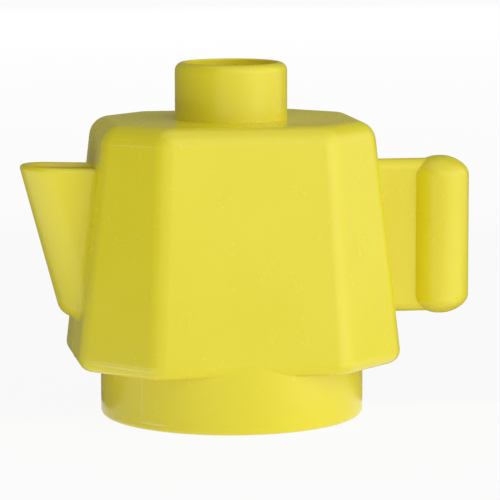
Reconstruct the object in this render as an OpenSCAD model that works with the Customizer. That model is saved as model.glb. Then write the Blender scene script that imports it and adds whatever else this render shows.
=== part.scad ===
// Toy teapot that stands on one stud of a 16 mm pitch plate and carries a hollow stud as its lid's knob.
// X runs from the spout (-X) to the handle (+X), Y from the front to the back, Z up.
// The origin is the middle of the foot, in the plane that the foot stands on.

/* [Belly] */
// Width across the spout and handle faces, where the rounding of the underside begins
belly_w = 26.7; // [25:0.1:29]
// Depth across the front and back faces at the same height, and the outer diameter of the foot
belly_d = 22; // [21:0.1:24]
// Leg of each corner face at the same height
belly_corner = 5.7; // [4.8:0.1:6.4]
// Height from the underside to the deck
belly_h = 20.2; // [18:0.1:24]
// Width across the spout and handle faces, where the rounding of the deck's edge begins
deck_w = 22.9; // [21.5:0.1:25]
// Depth across the front and back faces at the same height
deck_d = 18.96; // [18:0.02:20.5]
// Leg of each corner face at the same height
deck_corner = 4.55; // [3.8:0.05:5.2]
// Radius of the upright edges and of the deck's edge
edge_r = 1.72; // [1.2:0.02:2.2]
// Radius of the underside's edge
under_r = 1.08; // [0.6:0.02:1.5]
// Thickness of the deck, of the foot and of the thinnest wall of the shell
wall_t = 1.5; // [1.2:0.1:2]

/* [Foot] */
// Height of the foot under the belly
foot_h = 4.6; // [3.6:0.1:6]
// Radius of the foot's lower outer edge
foot_edge_r = 0.45; // [0.2:0.05:0.8]

/* [Studs] */
// Outer diameter of a stud
stud_d = 9.35; // [9.1:0.05:9.6]
// Height of the stud on the deck
stud_h = 4.7; // [4:0.1:5.5]
// Diameter of the bore in the stud on the deck
stud_bore_d = 7.65; // [6.5:0.05:7.8]
// Radius of the stud's upper outer edge
stud_rim_r = 0.7; // [0.3:0.05:0.75]
// Gap all round between the socket under the belly and a stud in it
grip_gap = 0.025; // [0.01:0.005:0.05]
// Wall of the tube that is the socket
tube_wall = 1.3; // [1:0.1:1.6]
// Radius of the tube's lower outer edge
tube_edge_r = 0.3; // [0.1:0.05:0.6]
// Number of ribs that hold the tube
rib_count = 4; // [3:1:6]
// Thickness of each rib
rib_t = 1.2; // [0.8:0.1:1.8]
// Height of the ribs' lower edges above the underside of the belly
rib_recess = 0.6; // [0.2:0.1:4]

/* [Spout] */
// Width from front to back
spout_w = 5.7; // [5:0.1:7]
// Height from the heel to the rim
spout_h = 12.6; // [11:0.1:14]
// Drop from the deck to the rim
spout_drop = 3.72; // [3:0.02:5]
// Reach of the rim's tip from the face of the belly
spout_reach = 6.1; // [5:0.1:7.5]
// Lean of the nose from the upright
spout_lean = 14.9; // [10:0.1:18]
// Fall of the rim from its tip to the face of the belly
rim_fall = 0.2; // [0:0.05:0.5]
// Wall round the mouth
spout_wall = 0.9; // [0.7:0.1:1.2]
// Depth of the mouth
mouth_depth = 5; // [3:0.1:6]
// Radius of the rim's outer edge
lip_r = 0.4; // [0.2:0.05:0.6]
// Radius of the heel's edge
heel_r = 0.6; // [0.3:0.05:1]

/* [Handle] */
// Height of the handle's middle above the underside of the belly
handle_rise = 10.05; // [9:0.05:11]
// Distance from the face of the belly to the grip's axis
handle_reach = 5.7; // [5:0.1:7]
// Thickness of the web
web_t = 2.4; // [1.8:0.1:3.2]
// Height of the web
web_h = 13; // [11.5:0.1:13.2]
// Diameter of the grip
grip_d = 4.64; // [4:0.02:5.2]
// Height of the grip
grip_h = 13.4; // [12.6:0.1:15]
// Height of each domed end of the grip
grip_dome = 1.76; // [1:0.02:1.9]

/* [Hidden] */
$fn = 96;
// Sides of the round shapes that a hull joins
hull_sides = 48;
// Overrun of every cut
over = 0.5;
// Gap between a piece and the flat face of the belly that it is seated on
seat_gap = 0.02;
abs_yellow = [0.91, 0.86, 0.33];

// Heights above the plane that the foot stands on
belly_z = foot_h;
deck_z = belly_z + belly_h;
ceiling_z = deck_z - wall_t;
// Heights at which the belly's and the deck's widths are measured
wide_z = belly_z + under_r;
narrow_z = deck_z - edge_r;

foot_r = belly_d / 2;
// Radius at height z of the mould's core, which is narrower towards the deck so that it can leave
function core_r(z) = foot_r - wall_t - (belly_d - deck_d) / 2 * z / ceiling_z;

stud_r = stud_d / 2;
socket_r = stud_r + grip_gap;
tube_r = socket_r + tube_wall;
rib_z = belly_z + rib_recess;
// Share of the underside's rounding that the foot climbs, to meet it where the two run flush
foot_climb_share = 0.8;

// Distance of the spout face and of the handle face from the middle plane at height z
function side_x(z) = (belly_w + (deck_w - belly_w) * (z - wide_z) / (narrow_z - wide_z)) / 2;

spout_r = spout_w / 2;
rim_z = deck_z - spout_drop;
heel_z = rim_z - spout_h;
tip_x = side_x(rim_z) + spout_reach;
// Distance of the nose from the middle plane at height z
function nose_x(z) = tip_x - (rim_z - z) * tan(spout_lean);

handle_z = belly_z + handle_rise;
grip_x = side_x(handle_z) + handle_reach;
grip_r = grip_d / 2;
// Radius of the ball that each domed end is cut from
dome_r = (grip_r * grip_r + grip_dome * grip_dome) / (2 * grip_dome);

// Corners of an eight-sided outline of width w, depth d and corner leg c, moved inward by r
function inset_octagon(w, d, c, r) =
    let (a = w / 2 - r, b = d / 2 - r, k = r * (sqrt(2) - 1), p = d / 2 - c - k, q = w / 2 - c - k)
    [[a, -p], [a, p], [q, b], [-q, b], [-a, p], [-a, -p], [-q, -b], [q, -b]];

// Round disc of radius r whose edge is rounded with radius fillet, about its middle plane
module soft_disc(r, fillet) {
    rotate_extrude($fn = hull_sides)
        intersection() {
            translate([r - fillet, 0]) circle(fillet, $fn = hull_sides);
            translate([0, -fillet]) square([r, 2 * fillet]);
        }
}

// Disc from 0 up to h whose upper edge is rounded with radius rim_r
module rim_disc(r, h, rim_r) {
    rotate_extrude() {
        square([r, h - rim_r]);
        square([r - rim_r, h]);
        translate([r - rim_r, h - rim_r]) circle(rim_r);
    }
}

// Tube of the same outside with a bore of radius inner_r
module rim_tube(r, inner_r, h, rim_r) {
    difference() {
        rim_disc(r, h, rim_r);
        translate([0, 0, -over]) cylinder(h = h + 2 * over, r = inner_r);
    }
}

// The belly as one solid, without its hollow
module belly_form() {
    hull() {
        for (p = inset_octagon(deck_w, deck_d, deck_corner, edge_r))
            translate([p[0], p[1], narrow_z]) soft_disc(edge_r, edge_r);
        for (p = inset_octagon(belly_w, belly_d, belly_corner, edge_r))
            translate([p[0], p[1], wide_z]) soft_disc(edge_r, under_r);
    }
}

// The hollow that the mould's core leaves in the foot and the belly
module core() {
    translate([0, 0, -over]) cylinder(h = ceiling_z + over, r1 = core_r(-over), r2 = core_r(ceiling_z));
}

// A block that fills the belly out to its spout face and its handle face, and past them by the seat's gap
module between_faces() {
    low_x = side_x(belly_z) + seat_gap;
    high_x = side_x(deck_z) + seat_gap;
    rotate([90, 0, 0])
        linear_extrude(belly_d, center = true)
            polygon([[-low_x, belly_z], [low_x, belly_z], [high_x, deck_z], [-high_x, deck_z]]);
}

module body_shell() {
    color(abs_yellow)
        difference() {
            belly_form();
            core();
        }
}

module top_stud() {
    color(abs_yellow) translate([0, 0, deck_z]) rim_tube(stud_r, stud_bore_d / 2, stud_h, stud_rim_r);
}

module foot_ring() {
    foot_top_z = belly_z + under_r * foot_climb_share;
    color(abs_yellow)
        difference() {
            translate([0, 0, foot_top_z]) mirror([0, 0, 1]) rim_disc(foot_r, foot_top_z, foot_edge_r);
            core();
            belly_form();
        }
}

module socket_tube() {
    color(abs_yellow)
        translate([0, 0, ceiling_z]) mirror([0, 0, 1]) rim_tube(tube_r, socket_r, ceiling_z, tube_edge_r);
}

module socket_ribs() {
    color(abs_yellow)
        difference() {
            intersection() {
                for (i = [0:rib_count - 1])
                    rotate([0, 0, 45 + i * 360 / rib_count])
                        translate([0, -rib_t / 2, rib_z]) cube([foot_r, rib_t, ceiling_z - rib_z]);
                core();
            }
            translate([0, 0, rib_z - over]) cylinder(h = ceiling_z - rib_z + 2 * over, r = tube_r);
        }
}

// Leaning wedge with a round nose that runs into the belly
module spout_form() {
    hull() {
        translate([-(nose_x(rim_z - lip_r) - spout_r), 0, rim_z - lip_r]) soft_disc(spout_r, lip_r);
        translate([-(side_x(rim_z) - spout_r), 0, rim_z - rim_fall - lip_r]) soft_disc(spout_r, lip_r);
        translate([-(nose_x(heel_z + heel_r) - spout_r), 0, heel_z + heel_r]) soft_disc(spout_r, heel_r);
    }
}

// The mouth, parallel to the spout's outside
module spout_mouth() {
    mouth_r = spout_r - spout_wall;
    floor_z = rim_z - mouth_depth;
    hull()
        for (z = [floor_z, rim_z])
            for (x = [nose_x(z) - spout_r, side_x(z) - spout_r])
                translate([-x, 0, z]) cylinder(h = over, r = mouth_r, $fn = hull_sides);
}

module spout() {
    color(abs_yellow)
        difference() {
            spout_form();
            spout_mouth();
            between_faces();
        }
}

// Round bar with a shallow dome at each end, each a cap of a ball that is wider than the bar
module grip_form() {
    ball_z = grip_h / 2 - dome_r;
    translate([grip_x, 0, handle_z])
        rotate_extrude()
            intersection() {
                translate([0, -grip_h / 2 - over]) square([grip_r, grip_h + 2 * over]);
                union() {
                    square([2 * dome_r, 2 * ball_z], center = true);
                    for (s = [-1, 1]) translate([0, s * ball_z]) circle(dome_r);
                }
            }
}

module handle_web() {
    start_x = side_x(deck_z);
    color(abs_yellow)
        difference() {
            translate([start_x, 0, handle_z])
                rotate([90, 0, 90])
                    linear_extrude(grip_x - start_x) {
                        square([web_t, web_h - web_t], center = true);
                        for (s = [-1, 1]) translate([0, s * (web_h - web_t) / 2]) circle(web_t / 2);
                    }
            between_faces();
            grip_form();
        }
}

module handle_grip() {
    color(abs_yellow) grip_form();
}

body_shell();
top_stud();
foot_ring();
socket_tube();
socket_ribs();
spout();
handle_web();
handle_grip();
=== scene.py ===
"""Toy teapot: the looks of one yellow moulding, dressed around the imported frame.

Meshes are shaped in millimetres and brought to metres when they are finished. X runs from the spout to
the handle, Y from the front to the back and Z up, with the origin in the middle of the foot, as in the
part's source.
"""

import logging
import math
from collections.abc import Callable, Iterable, Sequence
from dataclasses import dataclass
from enum import Enum
from typing import ClassVar

import bmesh
import bpy
from bmesh.types import BMEdge, BMFace, BMVert
from bpy.types import Material, Object, World
from mathutils import Matrix, Vector

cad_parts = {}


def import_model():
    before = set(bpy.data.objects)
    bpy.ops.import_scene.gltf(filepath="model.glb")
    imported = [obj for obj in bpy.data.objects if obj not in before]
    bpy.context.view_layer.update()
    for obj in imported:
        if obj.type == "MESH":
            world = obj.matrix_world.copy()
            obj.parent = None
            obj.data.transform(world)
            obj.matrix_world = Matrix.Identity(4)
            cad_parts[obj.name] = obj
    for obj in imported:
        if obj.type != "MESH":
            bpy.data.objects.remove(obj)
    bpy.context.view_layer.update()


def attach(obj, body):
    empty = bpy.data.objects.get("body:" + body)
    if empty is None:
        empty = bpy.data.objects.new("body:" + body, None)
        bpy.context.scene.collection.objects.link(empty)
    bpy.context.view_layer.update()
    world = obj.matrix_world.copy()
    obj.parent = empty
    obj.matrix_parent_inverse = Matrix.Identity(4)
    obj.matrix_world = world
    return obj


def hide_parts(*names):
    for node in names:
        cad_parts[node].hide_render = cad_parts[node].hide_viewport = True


LOG = logging.getLogger("teapot")
MM = 0.001
FULL_TURN = 2 * math.pi
# In millimetres: how near corners are merged, how short an edge is a sliver, how near counts as touching
MERGED = 2e-4
SLIVER = 1e-6
TOUCHING = 1e-4
WHITE = (1.0, 1.0, 1.0, 1.0)

Pair = tuple[float, float]
Triple = tuple[float, float, float]


class Side(Enum):
    """The two leaning faces of the belly that carry something."""

    SPOUT = -1
    HANDLE = 1


class Rounded(Enum):
    """What a rounding runs along."""

    EDGES = "EDGES"
    CORNERS = "VERTICES"


class Kept(Enum):
    """What stays of a piece that a plane cuts."""

    BOTH = "both sides"
    INNER = "the side that the normal points away from, closed along the cut"
    OUTER = "the side that the normal points to, left open"


@dataclass(frozen=True)
class Corner:
    """One corner of a profile that is turned on the lathe.

    Args:
        radius: distance from the axis.
        height: height along the axis.
        rounding: length that the rounding takes from each edge, or 0 for a sharp corner.
        segments: number of steps in the rounding.
    """

    radius: float
    height: float
    rounding: float = 0.0
    segments: int = 1


@dataclass(frozen=True)
class Flare:
    """The small arc in which a piece widens where it meets the belly.

    Args:
        radius: radius of the arc.
        cut: how much of the arc is left out, so that it meets the face at an angle.
        steps: number of steps in the arc.
        facing: how far a corner's normal has to turn to the side for the corner to be pushed, from 0 to 1.
    """

    radius: float
    cut: float
    steps: int
    facing: float = 0.5


@dataclass(frozen=True)
class Outline:
    """Eight-sided outline of the belly at one height.

    Args:
        width: distance between the spout face and the handle face.
        depth: distance between the front and the back.
        leg: leg of each corner face.
    """

    width: float
    depth: float
    leg: float

    def corners(self, inset: float = 0.0) -> list[Vector]:
        """Gives the eight corners, going round once.

        Args:
            inset: how far every side is moved inwards first.

        Returns:
            The corners.
        """
        a, b = self.width / 2 - inset, self.depth / 2 - inset
        leg = self.leg - inset * (2 - math.sqrt(2))
        points = ((a, b - leg), (a - leg, b), (leg - a, b), (-a, b - leg))
        return [Vector(p) for p in points] + [-Vector(p) for p in points]


class Blank:
    """A piece in the making: one bmesh and the operators that shape it, in millimetres."""

    def __init__(self) -> None:
        """Starts an empty bmesh."""
        self.bm = bmesh.new()

    def bevel(
        self, geom: Iterable[BMEdge | BMVert], offset: float, segments: int, rounded: Rounded = Rounded.EDGES
    ) -> None:
        """Rounds edges, or corners of a flat outline.

        Args:
            geom: the edges or the corners.
            offset: width of the rounding on each face, or its length along each edge of the outline.
            segments: number of steps in the rounding.
            rounded: which of the two it is.
        """
        bmesh.ops.bevel(
            self.bm,
            geom=list(geom),
            offset=offset,
            offset_type="OFFSET",
            segments=segments,
            profile=0.5,
            affect=rounded.value,
            material=-1,
            clamp_overlap=False,
        )

    def extrude(self, face: BMFace, move: Sequence[float], keep: bool = False) -> BMFace:
        """Pulls a face out.

        Args:
            face: the face to pull.
            move: how far the new face goes.
            keep: whether the old face stays, as the other end of the piece.

        Returns:
            The new face.
        """
        made = bmesh.ops.extrude_face_region(self.bm, geom=[face])["geom"]
        verts = [g for g in made if isinstance(g, BMVert)]
        bmesh.ops.translate(self.bm, vec=Vector(move), verts=verts)
        pulled = next(g for g in made if isinstance(g, BMFace))
        if not keep:
            bmesh.ops.delete(self.bm, geom=[face], context="FACES_ONLY")
        return pulled

    def round_over(
        self, face: BMFace, centres: Sequence[Vector], radii: Sequence[float], rises: Sequence[float]
    ) -> None:
        """Rounds the rim of an end face, by raising it in steps while each corner closes on its own centre.

        Args:
            face: the end face, at the height where the rounding starts.
            centres: the centre of each corner's rounding, seen from above.
            radii: the corners' radius at the start and after each step.
            rises: how far each step raises the face.
        """
        for before, after, rise in zip(radii, radii[1:], rises):
            face = self.extrude(face, (0, 0, rise))
            share = after / before
            for centre in centres:
                near = [v for v in face.verts if min(centres, key=lambda c: (c - v.co.xy).length) is centre]
                space = Matrix.Translation((-centre.x, -centre.y, 0))
                bmesh.ops.scale(self.bm, vec=Vector((share, share, 1)), space=space, verts=near)

    def lathe(self, profile: Sequence[Corner], steps: int) -> None:
        """Turns a profile round the Z axis.

        Args:
            profile: the corners in order. It is closed unless both its ends are on the axis.
            steps: number of steps in the turn.
        """
        bm = self.bm
        verts = [bm.verts.new((c.radius, 0.0, c.height)) for c in profile]
        bm.faces.new(verts)
        for vert, corner in zip(verts, profile, strict=True):
            if corner.rounding:
                self.bevel([vert], corner.rounding, corner.segments, Rounded.CORNERS)
        bmesh.ops.delete(bm, geom=bm.faces[:], context="FACES_ONLY")
        on_axis = [e for e in bm.edges if all(v.co.x < SLIVER for v in e.verts)]
        bmesh.ops.delete(bm, geom=on_axis, context="EDGES")
        self.spin(bm.verts[:] + bm.edges[:], FULL_TURN, steps)

    def spin(self, geom: Sequence[BMEdge | BMVert], angle: float, steps: int, closed: bool = True) -> None:
        """Turns edges round the Z axis by an angle in radians, and joins both ends of a closed turn."""
        bmesh.ops.spin(
            self.bm, geom=geom, cent=(0, 0, 0), axis=(0, 0, 1), angle=angle, steps=steps, use_merge=closed
        )

    def cut(
        self,
        point: Sequence[float],
        normal: Sequence[float],
        kept: Kept = Kept.BOTH,
        faces: Sequence[BMFace] | None = None,
    ) -> None:
        """Cuts the piece with a plane.

        Args:
            point: a point of the plane.
            normal: the plane's normal.
            kept: what stays.
            faces: the faces that are cut, or None for the whole piece.
        """
        bm = self.bm
        geom = bm.verts[:] + bm.edges[:] + bm.faces[:]
        if faces is not None:
            parts = [part for f in faces for part in (*f.verts, *f.edges, f)]
            geom = list(dict.fromkeys(parts))
        made = bmesh.ops.bisect_plane(
            bm,
            geom=geom,
            dist=SLIVER,
            plane_co=Vector(point),
            plane_no=Vector(normal),
            clear_outer=kept is Kept.INNER,
            clear_inner=kept is Kept.OUTER,
        )
        if kept is Kept.INNER:
            rim = [g for g in made["geom_cut"] if isinstance(g, BMEdge) and g.is_boundary]
            bmesh.ops.holes_fill(bm, edges=rim, sides=0)

    def seat(
        self,
        face: Vector,
        inward: Vector,
        lap: float,
        flare: Flare,
        share: Callable[[Vector], float] = lambda _: 1.0,
    ) -> None:
        """Cuts the piece off a little inside what carries it, and flares it towards the face that it meets.

        Args:
            face: a point of that face.
            inward: the face's normal, which points into what carries the piece.
            lap: how far inside the piece ends.
            flare: the arc in which it widens.
            share: how much of the arc there is at a point of the piece.
        """
        self.cut(face + inward * lap, inward, Kept.INNER)
        for k in range(flare.steps):
            away = flare.radius * (1 - math.sin(math.pi / 2 * k / flare.steps))
            self.cut(face - inward * away, inward)
        self.bm.normal_update()
        height = flare.radius - flare.cut
        pushes = {}
        for vert in self.bm.verts:
            away = (face - vert.co).dot(inward)
            sideways = vert.normal - inward * vert.normal.dot(inward)
            if away < height and sideways.length > flare.facing:
                rise = height - max(away, 0.0)
                push = flare.radius - math.sqrt(flare.radius**2 - rise**2)
                pushes[vert] = sideways.normalized() * push * share(vert.co)
        for vert, push in pushes.items():
            vert.co += push

    def finish(self, name: str, sharp_angle: float = 35.0) -> Object:
        """Closes the piece and makes its object, in metres, with its place in its mesh.

        Args:
            name: the object's name.
            sharp_angle: an edge that turns by more than this, in degrees, is shaded sharp.

        Returns:
            The object, in the scene.
        """
        bm = self.bm
        bmesh.ops.remove_doubles(bm, verts=bm.verts[:], dist=MERGED)
        bmesh.ops.dissolve_degenerate(bm, edges=bm.edges[:], dist=SLIVER)
        bmesh.ops.recalc_face_normals(bm, faces=bm.faces[:])
        bmesh.ops.scale(bm, vec=Vector((MM, MM, MM)), verts=bm.verts[:])
        for face in bm.faces:
            face.smooth = True
        for edge in bm.edges:
            if len(edge.link_faces) == 2 and edge.calc_face_angle(0.0) > math.radians(sharp_angle):
                edge.smooth = False
        open_edges = sum(1 for e in bm.edges if not e.is_manifold)
        mesh = bpy.data.meshes.new(name)
        bm.to_mesh(mesh)
        bm.free()
        obj = bpy.data.objects.new(name, mesh)
        bpy.context.scene.collection.objects.link(obj)
        normals = obj.modifiers.new("even_normals", "WEIGHTED_NORMAL")
        normals.mode = "FACE_AREA"
        normals.keep_sharp = True
        LOG.info("%s: %d faces, %d open edges", name, len(mesh.polygons), open_edges)
        return obj


class Socket:
    """A shader value that can be used in Python arithmetic."""

    def __init__(self, shader: "Shader", link: bpy.types.NodeSocket) -> None:
        """Wraps a node's output, with the shader that owns the node."""
        self.shader, self.link = shader, link

    def _with(self, operation: str, *others: "Socket | float", swap: bool = False) -> "Socket":
        """Returns a new Math node's output for this value and the others, with this one last if swapped."""
        values = [*others, self] if swap else [self, *others]
        return self.shader.node("ShaderNodeMath", {"operation": operation}, *values)

    def __add__(self, other: "Socket | float") -> "Socket":
        """Returns this value plus another."""
        return self._with("ADD", other)

    def __sub__(self, other: "Socket | float") -> "Socket":
        """Returns this value less another."""
        return self._with("SUBTRACT", other)

    def __rsub__(self, other: "Socket | float") -> "Socket":
        """Returns another value less this one."""
        return self._with("SUBTRACT", other, swap=True)

    def __mul__(self, other: "Socket | float") -> "Socket":
        """Returns this value times another."""
        return self._with("MULTIPLY", other)

    def __abs__(self) -> "Socket":
        """Returns this value without its sign."""
        return self._with("ABSOLUTE")

    def band(self, low: float, high: float, start: float = 0.0, end: float = 1.0) -> "Socket":
        """Returns start where this value is low, end where it is high, and a smooth change in between."""
        settings = {"interpolation_type": "SMOOTHSTEP", "clamp": True}
        return self.shader.node("ShaderNodeMapRange", settings, self, low, high, start, end)


@dataclass(frozen=True)
class Grain:
    """How fine a noise is.

    Args:
        scale: lumps per millimetre.
        detail: octaves of finer noise.
        roughness: strength of the finer noise.
    """

    scale: float
    detail: float = 2.0
    roughness: float = 0.5


class Shader:
    """The node tree of a material or of the surroundings, built one node at a time."""

    def __init__(self, owner: Material | World) -> None:
        """Empties the owner's tree.

        Args:
            owner: the material or the surroundings.
        """
        owner.use_nodes = True
        self.owner = owner
        self.tree = owner.node_tree
        self.tree.nodes.clear()

    def node(
        self,
        kind: str,
        settings: dict[str, object] | None = None,
        *values: object,
        out: int | str = 0,
        **named: object,
    ) -> Socket:
        """Adds a node.

        Args:
            kind: the node's type.
            settings: the node's own settings, which are set first.
            values: values or sockets of its first inputs, in order.
            out: the output that is returned.
            named: values or sockets of inputs by name, with _ for a space.

        Returns:
            The chosen output.
        """
        made = self.tree.nodes.new(kind)
        for key, value in (settings or {}).items():
            setattr(made, key, value)
        inputs = [s for s in made.inputs if s.enabled]
        pairs = list(zip(inputs, values))
        pairs += [(made.inputs[key.replace("_", " ")], v) for key, v in named.items()]
        for socket, value in pairs:
            if isinstance(value, Socket):
                self.tree.links.new(value.link, socket)
            else:
                socket.default_value = value
        outputs = [s for s in made.outputs if s.enabled]
        chosen = outputs[out] if isinstance(out, int) else made.outputs[out]
        return Socket(self, chosen)

    def place(self, scale: Sequence[float] = (1, 1, 1), turn: Sequence[float] = (0, 0, 0)) -> Socket:
        """Gives the object's own coordinates in millimetres, stretched and turned.

        Args:
            scale: stretch along each axis, on top of the change to millimetres.
            turn: turn about each axis, in degrees.

        Returns:
            The coordinates.
        """
        coordinates = self.node("ShaderNodeTexCoord", out="Object")
        angles = tuple(math.radians(a) for a in turn)
        scales = tuple(s / MM for s in scale)
        return self.node(
            "ShaderNodeMapping", {"vector_type": "POINT"}, Vector=coordinates, Rotation=angles, Scale=scales
        )

    def noise(self, where: Socket, grain: Grain) -> Socket:
        """Adds a noise texture about 0.5.

        Args:
            where: the coordinates, in millimetres.
            grain: how fine it is.

        Returns:
            The noise.
        """
        return self.node(
            "ShaderNodeTexNoise",
            {"noise_dimensions": "3D"},
            out="Fac",
            Vector=where,
            Scale=grain.scale,
            Detail=grain.detail,
            Roughness=grain.roughness,
        )

    def mix(self, share: Socket | float, low: object, high: object) -> Socket:
        """Returns a mix of two colours, with that share of the high one in it."""
        return self.node("ShaderNodeMix", {"data_type": "RGBA"}, share, low, high)

    def shown(self) -> Socket:
        """Returns 1 where the camera sees the surface, mirrored or through glass as well, and 0 elsewhere."""
        kinds = ("Camera", "Glossy", "Transmission")
        camera, glossy, through = (self.node("ShaderNodeLightPath", out=f"Is {kind} Ray") for kind in kinds)
        return camera + glossy + through

    def done(self, surface: Socket) -> Material | World:
        """Links the output.

        Args:
            surface: the shader of the surface.

        Returns:
            The material or the surroundings.
        """
        kind = "World" if isinstance(self.owner, World) else "Material"
        out = self.tree.nodes.new(f"ShaderNodeOutput{kind}")
        self.tree.links.new(surface.link, out.inputs["Surface"])
        return self.owner


@dataclass(frozen=True)
class Hairline:
    """One fine line on an upright face, drawn in the plane of that face: a scratch, or a painted highlight
    line.

    Args:
        turn: turn about Z, in degrees, that brings the face to the front.
        start: its start, as the distance to the right of the middle and the height, in millimetres.
        end: its end.
        strength: how much it shows.
        width: half its width, in millimetres.
    """

    # How far the fading ends run over, the shares of the length between which the line is full, and the
    # distances in front of the middle plane between which it comes in
    OVERRUN: ClassVar[float] = 0.2
    FULL: ClassVar[Pair] = (1 / 3, 0.7)
    FRONT: ClassVar[Pair] = (-1.0, -2.0)

    turn: float
    start: Pair
    end: Pair
    strength: float
    width: float = 0.05

    def mask(self, s: Shader) -> Socket:
        """Gives how much of the line there is at each point.

        Args:
            s: the shader that it is drawn in.

        Returns:
            A value from 0 to 1, which fades towards both ends and is 0 on the far side of the piece.
        """
        there = s.place(turn=(0.0, 0.0, self.turn))
        right, back, height = (s.node("ShaderNodeSeparateXYZ", None, there, out=k) for k in range(3))
        (u, z), (u_end, z_end) = self.start, self.end
        length = math.hypot(u_end - u, z_end - z)
        run, rise = (u_end - u) / length, (z_end - z) / length
        along = right * run + height * rise - (u * run + z * rise)
        across = abs(right * rise - height * run - (u * rise - z * run))
        full, fading = (length * share for share in self.FULL)
        ends = along.band(-self.OVERRUN, full) * along.band(fading, length + self.OVERRUN, 1.0, 0.0)
        return across.band(0.0, self.width, self.strength, 0.0) * ends * back.band(*self.FRONT)


@dataclass(frozen=True)
class MouldedAbs:
    """Satin to glossy ABS as it comes out of a polished mould, with a little wear and painted highlight
    lines.

    Args:
        name: the material's name.
        colour: base colour.
        deep: colour of the slightly deeper patches.
        wear_and_highlight: colour of specks and scratches, and of the painted highlight lines.
        roughness: mean roughness.
        ior: index of refraction.
        peel: height of the mould's orange peel, in millimetres.
        streaks: height of the upright polishing streaks, in millimetres.
        hairlines: the fine lines, scratches and painted highlight lines.
    """

    # How fine each noise is, and the part of its range over which it takes effect
    PATCHES: ClassVar[Grain] = Grain(0.16, 3.0)
    PATCH_BAND: ClassVar[Pair] = (0.35, 0.65)
    SMUDGES: ClassVar[Grain] = Grain(0.45, 5.0, 0.62)
    SMUDGE_BAND: ClassVar[Pair] = (0.3, 0.75)
    PEEL: ClassVar[Grain] = Grain(2.6)
    FINE_PEEL: ClassVar[Grain] = Grain(7.0)
    STREAKS: ClassVar[Grain] = Grain(5.0, 3.0)
    # Specks per millimetre, and how a speck fades with the distance from its middle
    SPECKS: ClassVar[float] = 0.25
    SPECK_BAND: ClassVar[tuple[float, ...]] = (0.012, 0.025, 0.4, 0.0)
    # What smudges take from and add to the roughness, what wear and the painted highlight lines add to it,
    # the heights of the fine peel and of the wear and painted highlight lines as shares of the peel's, and
    # the stretch of the streaks
    SMUDGED: ClassVar[Pair] = (-0.012, 0.02)
    SCUFF_AND_HIGHLIGHT_ROUGHNESS: ClassVar[float] = 0.1
    FINE_SHARE: ClassVar[float] = 0.125
    WEAR_AND_HIGHLIGHT_SHARE: ClassVar[float] = 2.0
    COMBED: ClassVar[Triple] = (1.0, 1.0, 0.04)

    name: str
    colour: Triple = (0.80, 0.70, 0.024)
    deep: Triple = (0.79, 0.688, 0.019)
    wear_and_highlight: Triple = (0.86, 0.78, 0.22)
    roughness: float = 0.26
    ior: float = 1.52
    peel: float = 0.0004
    streaks: float = 0.0
    hairlines: tuple[Hairline, ...] = ()

    def build(self) -> Material:
        """Returns the material."""
        s = Shader(bpy.data.materials.new(self.name))
        here = s.place()
        patches = s.noise(here, self.PATCHES).band(*self.PATCH_BAND)
        smudges = s.noise(here, self.SMUDGES)
        specks = s.node("ShaderNodeTexVoronoi", out="Distance", Vector=here, Scale=self.SPECKS)
        # Wear and painted highlights: the specks and the scratches are wear, the other hairlines are painted
        # highlight lines
        wear_and_highlight = specks.band(*self.SPECK_BAND)
        for line in self.hairlines:
            wear_and_highlight = wear_and_highlight + line.mask(s)
        height = s.noise(here, self.PEEL) * self.peel
        height = height + s.noise(here, self.FINE_PEEL) * (self.peel * self.FINE_SHARE)
        height = height - wear_and_highlight * (self.peel * self.WEAR_AND_HIGHLIGHT_SHARE)
        if self.streaks:
            height = height + s.noise(s.place(self.COMBED), self.STREAKS) * self.streaks
        colour = s.mix(patches, (*self.colour, 1.0), (*self.deep, 1.0))
        # Lighter colour at the wear and at the painted highlight lines
        colour = s.mix(wear_and_highlight.band(0.0, 1.0), colour, (*self.wear_and_highlight, 1.0))
        roughness = smudges.band(*self.SMUDGE_BAND, *(self.roughness + change for change in self.SMUDGED))
        roughness = roughness + wear_and_highlight * self.SCUFF_AND_HIGHLIGHT_ROUGHNESS
        normal = s.node("ShaderNodeBump", Strength=1.0, Distance=MM, Height=height)
        inputs = {"Base_Color": colour, "Roughness": roughness, "IOR": self.ior, "Normal": normal}
        return s.done(s.node("ShaderNodeBsdfPrincipled", **inputs))


# Lines on the belly's front-left corner face and front face: scratches, and painted highlights along the
# roundings
BELLY_SCRATCH_AND_HIGHLIGHT_LINES = (
    # Painted highlights: two lines along the deck's rounding, at the top of the front-left corner face
    Hairline(45.0, (-3.9, 23.80), (0.3, 23.84), 0.45),
    Hairline(45.0, (-4.2, 23.30), (1.5, 23.36), 0.75),
    # A scratch across the front-left corner face
    Hairline(45.0, (-3.1, 14.86), (1.1, 16.31), 0.35, 0.04),
    # Painted highlights: two lines along the underside's rounding, at the foot of the front-left corner face
    Hairline(45.0, (-5.6, 5.70), (2.9, 5.69), 0.6, 0.07),
    Hairline(45.0, (-5.4, 5.45), (3.1, 5.37), 1.0, 0.11),
    # Two short scratches on the deck's rounding above the front face
    Hairline(0.0, (-5.60, 23.72), (-5.50, 23.35), 0.7, 0.08),
    Hairline(0.0, (-4.65, 23.45), (-4.35, 23.05), 0.35, 0.07),
)
# Painted highlights on the front of the foot: a bright upright line where the reflections change, and a
# bright line along the bottom rounding
FOOT_HIGHLIGHT_LINES = (
    Hairline(0.0, (-8.53, -0.2), (-8.53, 6.0), 0.45, 0.12),
    Hairline(0.0, (-8.95, 0.64), (-6.6, 0.60), 0.9, 0.12),
)
BODY = "root"


def dress(obj: Object, finish: Material, *nodes: str) -> Object:
    """Gives a piece its finish and its place in the frame.

    Args:
        obj: the piece.
        finish: its material.
        nodes: the CAD nodes that it stands for.

    Returns:
        The same object.
    """
    obj.data.materials.append(finish)
    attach(obj, BODY)
    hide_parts(*nodes)
    return obj


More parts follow.
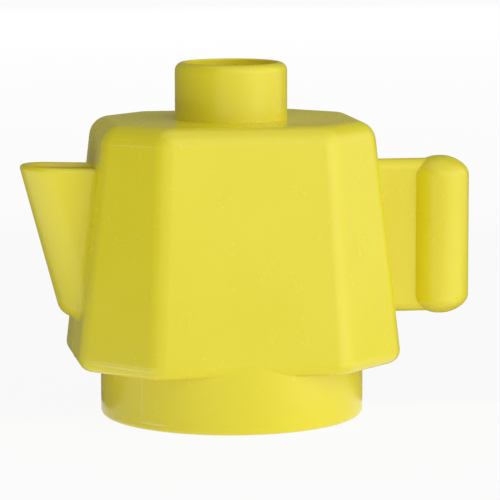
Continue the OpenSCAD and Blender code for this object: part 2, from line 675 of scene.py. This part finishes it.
@dataclass
class Belly:
    """The tapered eight-sided belly with its deck and its hollow, whose faces carry the other pieces."""

    low: Outline = Outline(26.9, 22.0, 5.58)
    high: Outline = Outline(22.86, 18.96, 4.43)
    low_z: float = 5.68
    high_z: float = 23.08
    base_z: float = 4.6
    deck_z: float = 24.8
    ceiling_z: float = 23.3
    edge_r: float = 1.72
    upright_r: float = 2.15
    under_r: float = 1.08
    ceiling_edge_r: float = 0.4
    core_low_r: float = 9.5
    core_high_r: float = 7.98
    parting_w: float = 0.05
    parting_h: float = 0.03
    parting_facing: float = 0.6
    upright_steps: int = 16
    level_steps: int = 14
    ceiling_steps: int = 4

    def make(self, finish: Material) -> list[Object]:
        """Returns the belly's one object, built and dressed in a finish."""
        return [dress(self.shell(), finish, "body_shell")]

    def outline_at(self, z: float) -> Outline:
        """Returns the sharp outline at a height."""
        t = (z - self.low_z) / (self.high_z - self.low_z)
        a, b = self.low, self.high
        width, depth = a.width + (b.width - a.width) * t, a.depth + (b.depth - a.depth) * t
        return Outline(width, depth, a.leg + (b.leg - a.leg) * t)

    def side_x(self, z: float) -> float:
        """Returns how far the spout face and the handle face are from the middle plane at a height."""
        return self.outline_at(z).width / 2

    def core_r(self, z: float) -> float:
        """Returns the radius of the hollow at a height."""
        return self.core_low_r + (self.core_high_r - self.core_low_r) * z / self.ceiling_z

    def face(self, side: Side) -> tuple[Vector, Vector]:
        """Gives the plane of the spout face or the handle face.

        Args:
            side: which face.

        Returns:
            A point of the plane, and its normal, which points into the belly.
        """
        rise = self.high_z - self.low_z
        lean = (self.low.width - self.high.width) / 2
        outward = Vector((side.value * rise, 0.0, lean)).normalized()
        return Vector((side.value * self.side_x(self.low_z), 0.0, self.low_z)), -outward

    def shell(self) -> Object:
        """Returns the belly's object."""
        blank = Blank()
        bm = blank.bm
        lean = math.atan2(self.low.width - self.high.width, 2 * (self.high_z - self.low_z))
        low_z = self.low_z + self.under_r * math.sin(lean)
        high_z = self.high_z + self.edge_r * math.sin(lean)
        low, high = (self.outline_at(z).corners() for z in (low_z, high_z))
        base = bm.faces.new([bm.verts.new((*p, low_z)) for p in low])
        top = blank.extrude(base, (0, 0, high_z - low_z), keep=True)
        for vert in top.verts:
            nearest = min(range(len(low)), key=lambda i: (low[i] - vert.co.xy).length)
            vert.co.xy = high[nearest]
        uprights = [e for e in bm.edges if abs(e.verts[0].co.z - e.verts[1].co.z) > TOUCHING]
        blank.bevel(uprights, self.upright_r * math.tan(math.pi / 8), self.upright_steps)
        ends = sorted(bm.faces, key=lambda f: f.calc_center_median().z)
        self._round_end(blank, ends[0], self.under_r, -lean, -1)
        self._round_end(blank, ends[-1], self.edge_r, lean, 1)
        self._parting_line(blank)
        self._hollow(blank)
        return blank.finish("belly", sharp_angle=40.0)

    def _round_end(self, blank: Blank, face: BMFace, radius: float, start: float, way: int) -> None:
        """Rounds the rim of the deck or of the underside.

        Args:
            blank: the piece.
            face: the end face.
            radius: radius of the rounding.
            start: angle at which the leaning sides meet the rounding, in radians.
            way: 1 for the deck, -1 for the underside.
        """
        steps = self.level_steps
        angles = [start + (math.pi / 2 - start) * k / steps for k in range(steps + 1)]
        radii = [self.upright_r - radius * (1 - math.cos(a)) for a in angles]
        rises = [way * radius * (math.sin(b) - math.sin(a)) for a, b in zip(angles, angles[1:])]
        centres = self.outline_at(face.calc_center_median().z).corners(radii[0])
        blank.round_over(face, centres, radii, rises)

    def _parting_line(self, blank: Blank) -> None:
        """Raises the mould's parting line down the middle of the spout face and the handle face.

        Args:
            blank: the piece.
        """
        bm = blank.bm
        for y in (-self.parting_w, 0.0, self.parting_w):
            faces = [f for f in bm.faces if abs(f.normal.x) > self.parting_facing]
            blank.cut((0, y, 0), (0, 1, 0), faces=faces)
            bm.normal_update()
        for vert in bm.verts:
            if abs(vert.co.y) < TOUCHING and abs(vert.normal.x) > self.parting_facing:
                vert.co += vert.normal * self.parting_h

    def _hollow(self, blank: Blank) -> None:
        """Opens the underside and lines the hollow up to the ceiling.

        Args:
            blank: the piece.
        """
        bm = blank.bm
        floor = min(bm.faces, key=lambda f: (round(f.calc_center_median().z, 3), -f.calc_area()))
        rim = list(floor.edges)
        bmesh.ops.delete(bm, geom=[floor], context="FACES_ONLY")
        made = bmesh.ops.create_circle(
            bm,
            cap_ends=False,
            radius=self.core_r(self.base_z),
            segments=len(rim),
            matrix=Matrix.Translation((0, 0, self.deck_z)),
        )
        mouth = list({e for v in made["verts"] for e in v.link_edges})
        bmesh.ops.bridge_loops(bm, edges=rim + mouth)
        bmesh.ops.translate(bm, vec=Vector((0, 0, self.base_z - self.deck_z)), verts=made["verts"])
        wall = bmesh.ops.extrude_edge_only(bm, edges=mouth)["geom"]
        upper = [g for g in wall if isinstance(g, BMVert)]
        share = self.core_r(self.ceiling_z) / self.core_r(self.base_z)
        bmesh.ops.scale(bm, vec=Vector((share, share, 1.0)), verts=upper)
        bmesh.ops.translate(bm, vec=Vector((0, 0, self.ceiling_z - self.base_z)), verts=upper)
        upper_rim = [g for g in wall if isinstance(g, BMEdge) and g.is_boundary]
        ceiling = bmesh.ops.contextual_create(bm, geom=upper_rim)["faces"]
        blank.bevel([e for f in ceiling for e in f.edges], self.ceiling_edge_r, self.ceiling_steps)


@dataclass
class Foot:
    """The round foot, the tube inside that grips a stud, and the ribs that hold the tube."""

    belly: Belly
    outer_r: float = 11.0
    climb: float = 0.98
    edge_r: float = 0.45
    shoulder: float = 0.4
    slack: float = 0.02
    lap: float = 0.15
    socket_r: float = 4.7
    tube_r: float = 6.0
    tube_edge_r: float = 0.3
    inner_edge_r: float = 0.12
    rib_count: int = 4
    rib_t: float = 1.2
    rib_z: float = 5.2
    rib_edge_r: float = 0.2
    first_rib: float = 45.0
    steps: int = 192
    edge_steps: int = 10
    tube_edge_steps: int = 6
    small_steps: int = 3

    def make(self, outside: Material, inside: Material) -> list[Object]:
        """Builds the foot, the tube and the ribs, and dresses them.

        Args:
            outside: the foot's material.
            inside: the tube's and the ribs' material.

        Returns:
            The three objects.
        """
        return [
            dress(self.ring(), outside, "foot_ring"),
            dress(self.tube(), inside, "socket_tube"),
            dress(self.ribs(), inside, "socket_ribs"),
        ]

    def ring(self) -> Object:
        """Returns the foot, which climbs the belly's rounding and meets it flush in front and behind."""
        b = self.belly
        blank = Blank()
        top = b.base_z + b.under_r * self.climb
        inner = b.core_r(b.base_z)
        blank.lathe(
            [
                Corner(b.core_low_r, 0.0, self.inner_edge_r, self.small_steps),
                Corner(self.outer_r, 0.0, self.edge_r, self.edge_steps),
                Corner(self.outer_r, top),
                Corner(self.outer_r - self.shoulder, top),
                Corner(inner + self.shoulder, b.base_z + self.lap),
                Corner(inner + self.slack, b.base_z + self.lap),
                Corner(inner, b.base_z),
            ],
            self.steps,
        )
        return blank.finish("foot")

    def tube(self) -> Object:
        """Returns the tube under the belly."""
        blank = Blank()
        top = self.belly.ceiling_z + self.lap
        blank.lathe(
            [
                Corner(self.socket_r, 0.0, self.inner_edge_r, self.small_steps),
                Corner(self.tube_r, 0.0, self.tube_edge_r, self.tube_edge_steps),
                Corner(self.tube_r, top),
                Corner(self.socket_r, top),
            ],
            self.steps // 2,
        )
        return blank.finish("socket_sleeve")

    def ribs(self) -> Object:
        """Returns the ribs between the tube and the hollow's wall."""
        b = self.belly
        blank = Blank()
        bm = blank.bm
        low, high = self.rib_z, b.ceiling_z + self.lap
        start = self.tube_r - self.lap
        for k in range(self.rib_count):
            made = bmesh.ops.create_cube(bm, size=1.0)["verts"]
            bmesh.ops.scale(bm, vec=Vector((1.0, self.rib_t, high - low)), verts=made)
            for vert in made:
                z = vert.co.z + (low + high) / 2
                end = b.core_r(z) + self.lap
                vert.co = Vector((end if vert.co.x > 0 else start, vert.co.y, z))
            edges = {e for v in made for e in v.link_edges}
            lower = [e for e in edges if all(abs(v.co.z - low) < TOUCHING for v in e.verts)]
            turn = Matrix.Rotation(math.radians(self.first_rib) + FULL_TURN * k / self.rib_count, 3, "Z")
            bmesh.ops.rotate(bm, cent=(0, 0, 0), matrix=turn, verts=made)
            blank.bevel(lower, self.rib_edge_r, self.small_steps)
        return blank.finish("socket_webs")


@dataclass
class Knob:
    """The hollow stud on the deck, which plays the lid's knob."""

    belly: Belly
    outer_r: float = 4.675
    bore_r: float = 3.825
    height: float = 4.7
    rim_r: float = 0.7
    bore_edge_r: float = 0.12
    lap: float = 0.2
    steps: int = 160
    rim_steps: int = 12
    bore_edge_steps: int = 4

    def make(self, finish: Material) -> list[Object]:
        """Returns the knob's one object, built and dressed in a finish."""
        return [dress(self.stud(), finish, "top_stud")]

    def stud(self) -> Object:
        """Returns the knob's object."""
        blank = Blank()
        low = self.belly.deck_z - self.lap
        high = self.belly.deck_z + self.height
        blank.lathe(
            [
                Corner(self.bore_r, low),
                Corner(self.outer_r, low),
                Corner(self.outer_r, high, self.rim_r, self.rim_steps),
                Corner(self.bore_r, high, self.bore_edge_r, self.bore_edge_steps),
            ],
            self.steps,
        )
        return blank.finish("lid_knob", sharp_angle=50.0)


@dataclass
class Spout:
    """The leaning spout with a round nose and an open mouth, which flares where it leaves the belly."""

    belly: Belly
    nose_r: float = 2.85
    rim_z: float = 21.26
    heel_z: float = 8.48
    tip_x: float = 17.74
    lean: float = math.radians(14.9)
    fall: float = 0.2
    wall: float = 0.9
    mouth_depth: float = 5.0
    lip_r: float = 0.4
    inner_lip_r: float = 0.4
    mouth_floor_r: float = 0.35
    heel_r: float = 1.1
    root: float = 4.0
    lap: float = 0.2
    rim_slack: float = 0.2
    wall_facing: float = 0.9
    flare: Flare = Flare(0.7, 0.06, 7)
    flare_side: float = 0.3
    flare_under: float = 0.1
    flare_fade: Pair = (1.6, 1.2)
    steps: int = 96
    edge_steps: int = 8
    inner_lip_steps: int = 5
    mouth_floor_steps: int = 4

    def make(self, finish: Material) -> list[Object]:
        """Returns the spout's one object, built and dressed in a finish."""
        return [dress(self.wedge(), finish, "spout")]

    def wedge(self) -> Object:
        """Returns the spout's object. Its mouth runs down parallel to its nose."""
        blank = Blank()
        bm = blank.bm
        shift = math.tan(self.lean)
        height = self.rim_z - self.heel_z
        made = bmesh.ops.create_circle(bm, cap_ends=True, radius=self.nose_r, segments=self.steps)["verts"]
        rear = [v for v in made if v.co.x > TOUCHING]
        bmesh.ops.translate(bm, vec=Vector((self.root, 0, 0)), verts=rear)
        heel_x = self.nose_r - self.tip_x + height * shift
        bmesh.ops.translate(bm, vec=Vector((heel_x, 0, self.heel_z)), verts=made)
        heel = bm.faces[:][0]
        top = blank.extrude(heel, (-height * shift, 0, height), keep=True)
        self._drop_rim(top)
        bmesh.ops.inset_region(bm, faces=[top], thickness=self.wall, use_even_offset=True)
        outer_rim = [e for e in bm.edges if self._on_outer_rim(e)]
        mouth_rim = list(top.edges)
        floor = blank.extrude(top, (self.mouth_depth * shift, 0, -self.mouth_depth))
        blank.bevel(floor.edges, self.mouth_floor_r, self.mouth_floor_steps)
        blank.bevel(mouth_rim, self.inner_lip_r, self.inner_lip_steps)
        blank.bevel(outer_rim, self.lip_r, self.edge_steps)
        blank.bevel(heel.edges, self.heel_r, self.edge_steps)
        bmesh.ops.recalc_face_normals(bm, faces=bm.faces[:])
        face, inward = self.belly.face(Side.SPOUT)
        blank.seat(face, inward, self.lap, self.flare, self._flare_share)
        return blank.finish("pouring_spout", sharp_angle=50.0)

    def _on_outer_rim(self, edge: BMEdge) -> bool:
        """Returns whether an edge lies in the rim's plane with one of the spout's outer walls beside it."""
        walls = [f for f in edge.link_faces if abs(f.normal.z) < self.wall_facing]
        low = self.rim_z - 2 * self.fall - self.rim_slack
        return len(walls) == 1 and all(v.co.z > low for v in edge.verts)

    def _drop_rim(self, top: BMFace) -> None:
        """Lets the rim fall towards the belly.

        Args:
            top: the face in the rim's plane.
        """
        reach = self.tip_x - self.belly.side_x(self.rim_z)
        for vert in top.verts:
            vert.co.z -= self.fall * (vert.co.x + self.tip_x) / reach

    def _flare_share(self, place: Vector) -> float:
        """Gives how much of the flare there is at a point of the spout.

        Args:
            place: the point.

        Returns:
            1 on the sides and under the heel, less near the rim, and 0 in the mouth.
        """
        beside = abs(place.y) > self.nose_r - self.flare_side
        if not beside and place.z >= self.heel_z + self.heel_r + self.flare_under:
            return 0.0
        start, length = self.flare_fade
        return 1.0 - min(max((place.z - self.rim_z + start) / length, 0.0), 1.0)


@dataclass
class Handle:
    """The plate on the handle face and the round bar at its outer edge."""

    belly: Belly
    middle_z: float = 14.68
    bar_x: float = 17.84
    bar_r: float = 2.45
    bar_h: float = 13.36
    dome_h: float = 1.3
    shoulder: float = 0.3
    shoulder_share: float = 0.98
    web_t: float = 1.95
    web_h: float = 13.0
    root: float = 1.0
    lap: float = 0.2
    flare: Flare = Flare(0.3, 0.03, 5)
    steps: int = 96
    web_steps: int = 48
    dome_steps: int = 24
    shoulder_steps: int = 8

    def make(self, finish: Material) -> list[Object]:
        """Returns the plate and the bar, built and dressed in a finish."""
        return [dress(self.web(), finish, "handle_web"), dress(self.bar(), finish, "handle_grip")]

    def web(self) -> Object:
        """Returns the plate. Its end lies inside the bar."""
        blank = Blank()
        bm = blank.bm
        half = (self.web_h - self.web_t) / 2
        end_r = self.web_t / 2
        made = bmesh.ops.create_circle(bm, cap_ends=True, radius=end_r, segments=self.web_steps)["verts"]
        for s in (-1, 1):
            ends = [v for v in made if v.co.x * s > TOUCHING]
            bmesh.ops.translate(bm, vec=Vector((s * half, 0, 0)), verts=ends)
        middles = [v for v in made if abs(v.co.x) < TOUCHING]
        bmesh.ops.dissolve_verts(bm, verts=middles)
        upright = Matrix.Rotation(-math.pi / 2, 3, "Y")
        bmesh.ops.rotate(bm, cent=(0, 0, 0), matrix=upright, verts=bm.verts[:])
        start = self.belly.side_x(self.middle_z + half) - self.root
        bmesh.ops.translate(bm, vec=Vector((start, 0, self.middle_z)), verts=bm.verts[:])
        blank.extrude(bm.faces[:][0], (self.bar_x - start, 0, 0), keep=True)
        bmesh.ops.recalc_face_normals(bm, faces=bm.faces[:])
        face, inward = self.belly.face(Side.HANDLE)
        blank.seat(face, inward, self.lap, self.flare)
        return blank.finish("handle_plate", sharp_angle=50.0)

    def bar(self) -> Object:
        """Returns the round bar with its two domed ends."""
        blank = Blank()
        ball_r = (self.bar_r**2 + self.dome_h**2) / (2 * self.dome_h)
        half = self.bar_h / 2
        tangent = ball_r * math.tan(math.asin(self.bar_r / ball_r) / 2)
        dome = (tangent - self.shoulder, self.dome_steps)
        shoulder = (self.shoulder * self.shoulder_share, self.shoulder_steps)
        blank.lathe(
            [
                Corner(0.0, -half),
                Corner(tangent, -half, *dome),
                Corner(self.bar_r, self.dome_h - half, *shoulder),
                Corner(self.bar_r, half - self.dome_h, *shoulder),
                Corner(tangent, half, *dome),
                Corner(0.0, half),
            ],
            self.steps,
        )
        bmesh.ops.translate(blank.bm, vec=Vector((self.bar_x, 0, self.middle_z)), verts=blank.bm.verts[:])
        return blank.finish("handle_bar", sharp_angle=60.0)


@dataclass
class Cloth:
    """The dark cloth at the left and behind, laid out and hung up. The camera doesn't see it."""

    start: float = 12.5
    wall: float = 150.0
    lift: float = 0.4
    bend: float = 30.0
    curl: float = 9.0
    height: float = 300.0
    laid: Pair = (91.0, 320.0)
    hung: Pair = (112.0, 320.0)
    cuts: tuple[tuple[Triple, Triple], ...] = (
        ((0.0, -1.5, 0.0), (0.1, 1.0, 0.0)),
        ((-26.0, 0.0, 0.0), (1.2, 1.0, 0.0)),
    )
    grey: float = 0.18
    glow: float = 0.25
    steps: int = 64

    def hang(self) -> None:
        """Builds the cloth, cuts its flat part free of the teapot and stages it."""
        blank = Blank()
        edge = (self.wall - self.bend, self.lift)
        curl = (self.wall - self.curl, self.curl)
        self._sweep(blank, [(self.start, self.lift), edge], self.laid)
        self._sweep(blank, [edge, curl, (self.wall, self.bend), (self.wall, self.height)], self.hung)
        for point, normal in self.cuts:
            flat = [f for f in blank.bm.faces if f.calc_center_median().z < self.lift + TOUCHING]
            blank.cut(point, normal, Kept.OUTER, flat)
        obj = blank.finish("dark_cloth", sharp_angle=180.0)
        s = Shader(bpy.data.materials.new("dark_cloth"))
        mirrored = s.node("ShaderNodeLightPath", out="Is Glossy Ray")
        strength = self.glow - mirrored * (self.glow - self.grey)
        surface = s.node("ShaderNodeEmission", Color=WHITE, Strength=strength)
        obj.data.materials.append(s.done(surface))
        obj.visible_camera = obj.visible_shadow = obj.visible_transmission = False

    def _sweep(self, blank: Blank, profile: Sequence[Pair], reach: Pair) -> None:
        """Sweeps a profile part of the way round the teapot.

        Args:
            blank: the cloth.
            profile: its points, each as the distance from the axis and the height.
            reach: where the sweep starts and ends, as a soft box's azimuth.
        """
        bm = blank.bm
        first, last = reach
        verts = [bm.verts.new((r, 0.0, z)) for r, z in profile]
        edges = [bm.edges.new(pair) for pair in zip(verts, verts[1:])]
        turn = Matrix.Rotation(math.radians(first - 90.0), 3, "Z")
        bmesh.ops.rotate(bm, cent=(0, 0, 0), matrix=turn, verts=verts)
        blank.spin(verts + edges, math.radians(last - first), self.steps, closed=False)


@dataclass(frozen=True)
class SoftBox:
    """One soft box, which faces the teapot or lies face up on the floor.

    Args:
        name: the lamp's name.
        azimuth: direction seen from above, in degrees, with 0 in front and 90 on the handle's side.
        elevation: degrees above the horizon, or None on the floor.
        size: width and height, in metres. On the floor, the height runs away from the teapot.
        radiance: how bright its face is, where 1 is white.
        distance: distance from the teapot's middle, in metres.
        mirrored: whether reflections show it.
        lighting: whether it lights what isn't glossy.
    """

    name: str
    azimuth: float
    elevation: float | None
    size: Pair
    radiance: float
    distance: float = 0.6
    mirrored: bool = True
    lighting: bool = True


@dataclass
class Studio:
    """The floor, the cloth, the lamps, the surroundings and the camera.

    The boxes on the floor give the light that a lit white table sends back up.
    """

    LAMPS: ClassVar[tuple[SoftBox, ...]] = (
        SoftBox("table", 0.0, None, (0.5, 0.5), 0.36, 0.0, mirrored=False),
        SoftBox("bounce", -61.0, None, (0.12, 0.12), 0.75, 0.103),
        SoftBox("pool_near", 50.0, None, (0.026, 0.038), 0.82, 0.041, lighting=False),
        SoftBox("pool_far", 50.0, None, (0.12, 0.27), 0.82, 0.195, lighting=False),
        SoftBox("key", 52.5, 23.0, (1.31, 0.50), 0.755),
        SoftBox("key_front", 46.0, 8.0, (0.32, 0.26), 0.92),
        SoftBox("top", 10.0, 50.0, (0.50, 0.30), 0.76),
        SoftBox("back", 180.0, 12.0, (0.90, 0.20), 2.0, mirrored=False),
    )

    eye: Triple = (-39.98, -251.12, 48.20)
    gaze: Triple = (0.16179, 0.97763, -0.13438)
    roll: float = -0.096
    lens: float = 220.57
    sensor: float = 36.0
    clip: Pair = (0.01, 10.0)
    aim_z: float = 14.0
    dim: float = 0.605
    floor_half: float = 2500.0
    floor_z: float = -0.02
    floor_lamp_z: float = -0.01
    floor_grey: float = 0.8
    floor_glow: float = 0.92

    def build(self) -> None:
        """Sets up the whole studio."""
        self.camera()
        self.world()
        self.floor()
        Cloth().hang()
        for box in self.LAMPS:
            self.lamp(box)

    def camera(self) -> None:
        """Makes the camera at the photograph's viewpoint."""
        data = bpy.data.cameras.new("camera")
        data.sensor_width = self.sensor
        data.lens = self.lens
        data.clip_start, data.clip_end = self.clip
        obj = bpy.data.objects.new("camera", data)
        back = -Vector(self.gaze).normalized()
        right = Vector((0, 0, 1)).cross(back).normalized()
        up = back.cross(right)
        turn = math.radians(self.roll)
        right, up = (
            right * math.cos(turn) + up * math.sin(turn),
            up * math.cos(turn) - right * math.sin(turn),
        )
        matrix = Matrix((right, up, back)).transposed().to_4x4()
        matrix.translation = Vector(self.eye) * MM
        obj.matrix_world = matrix
        bpy.context.scene.collection.objects.link(obj)
        bpy.context.scene.camera = obj

    def lamp(self, box: SoftBox) -> None:
        """Hangs a soft box, or lays it on the floor.

        Args:
            box: the soft box.
        """
        data = bpy.data.lights.new(box.name, "AREA")
        data.shape = "RECTANGLE"
        data.size, data.size_y = box.size
        data.energy = box.radiance * math.pi * box.size[0] * box.size[1]
        obj = bpy.data.objects.new(box.name, data)
        turn = math.radians(box.azimuth)
        if box.elevation is None:
            away = Vector((math.sin(turn), -math.cos(turn), 0.0))
            obj.rotation_euler = (math.pi, 0.0, turn)
            middle_z = self.floor_lamp_z
        else:
            e = math.radians(box.elevation)
            away = Vector((math.sin(turn) * math.cos(e), -math.cos(turn) * math.cos(e), math.sin(e)))
            obj.rotation_mode = "QUATERNION"
            obj.rotation_quaternion = away.to_track_quat("Z", "Y")
            middle_z = self.aim_z
        obj.location = Vector((0, 0, middle_z * MM)) + away * box.distance
        obj.visible_camera = False
        obj.visible_diffuse = box.lighting
        obj.visible_glossy = box.mirrored
        bpy.context.scene.collection.objects.link(obj)

    def world(self) -> None:
        """Makes the surroundings, which are white to the camera and dimmer as a light."""
        world = bpy.data.worlds.new("surroundings")
        bpy.context.scene.world = world
        s = Shader(world)
        values = (self.dim, 1.0)
        dim, white = (s.node("ShaderNodeBackground", Color=WHITE, Strength=v) for v in values)
        s.done(s.node("ShaderNodeMixShader", None, s.shown(), dim, white))

    def floor(self) -> None:
        """Lays the pale floor."""
        blank = Blank()
        bmesh.ops.create_grid(blank.bm, x_segments=1, y_segments=1, size=self.floor_half)
        obj = blank.finish("floor")
        obj.location.z = self.floor_z * MM
        s = Shader(bpy.data.materials.new("pale_floor"))
        paper = s.node("ShaderNodeBsdfDiffuse", Color=(self.floor_grey,) * 3 + (1.0,))
        white = s.node("ShaderNodeEmission", Color=WHITE, Strength=1.0)
        mixed = s.node("ShaderNodeMixShader", None, s.shown() * self.floor_glow, paper, white)
        obj.data.materials.append(s.done(mixed))


def main() -> None:
    """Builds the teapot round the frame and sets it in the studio."""
    logging.basicConfig(level=logging.INFO, format="%(name)s %(message)s")
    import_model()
    bpy.context.scene.view_settings.view_transform = "Standard"
    Studio().build()

    # The belly's finish carries scratches and painted highlight lines, the foot's finish painted highlight
    # lines; the knob shares the foot's finish
    lined = MouldedAbs("abs_lined", hairlines=BELLY_SCRATCH_AND_HIGHLIGHT_LINES).build()
    plain = MouldedAbs("abs_plain").build()
    turned = MouldedAbs("abs_turned", streaks=0.003, hairlines=FOOT_HIGHLIGHT_LINES).build()

    belly = Belly()
    pieces = [
        *belly.make(lined),
        *Foot(belly).make(turned, plain),
        *Knob(belly).make(turned),
        *Spout(belly).make(plain),
        *Handle(belly).make(plain),
    ]
    for obj in pieces:
        LOG.info("%s is dressed in %s", obj.name, obj.active_material.name)


if __name__ == "__main__":
    main()
